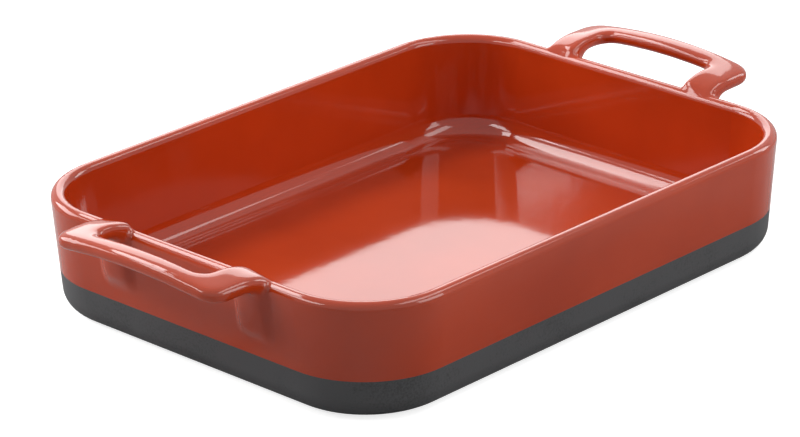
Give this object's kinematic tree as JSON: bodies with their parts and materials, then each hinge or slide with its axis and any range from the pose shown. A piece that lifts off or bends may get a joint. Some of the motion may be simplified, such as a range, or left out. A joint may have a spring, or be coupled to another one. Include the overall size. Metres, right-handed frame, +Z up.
{
  "type": "lasagna dish",
  "caption": "Rectangular ceramic baking dish with round corners, leaning walls, a glazed lining and band, a bare clay base and a raised loop handle at each end.",
  "frame": {"origin": "centre of the face that the dish stands on", "axes": "+X along the length towards the right handle, +Y across, +Z up out of the dish"},
  "size_m": [0.412, 0.2544, 0.073],
  "materials": {
    "red_glaze": "glossy orange-red glaze with a clear, hard shine",
    "bare_clay": "bare fired clay, matte dark grey with a fine grain"
  },
  "bodies": {
    "root": {"clay_body": "bare_clay", "inner_glaze": "red_glaze", "outer_glaze": "red_glaze", "left_handle": "red_glaze", "right_handle": "red_glaze"}
  },
  "joints": []
}
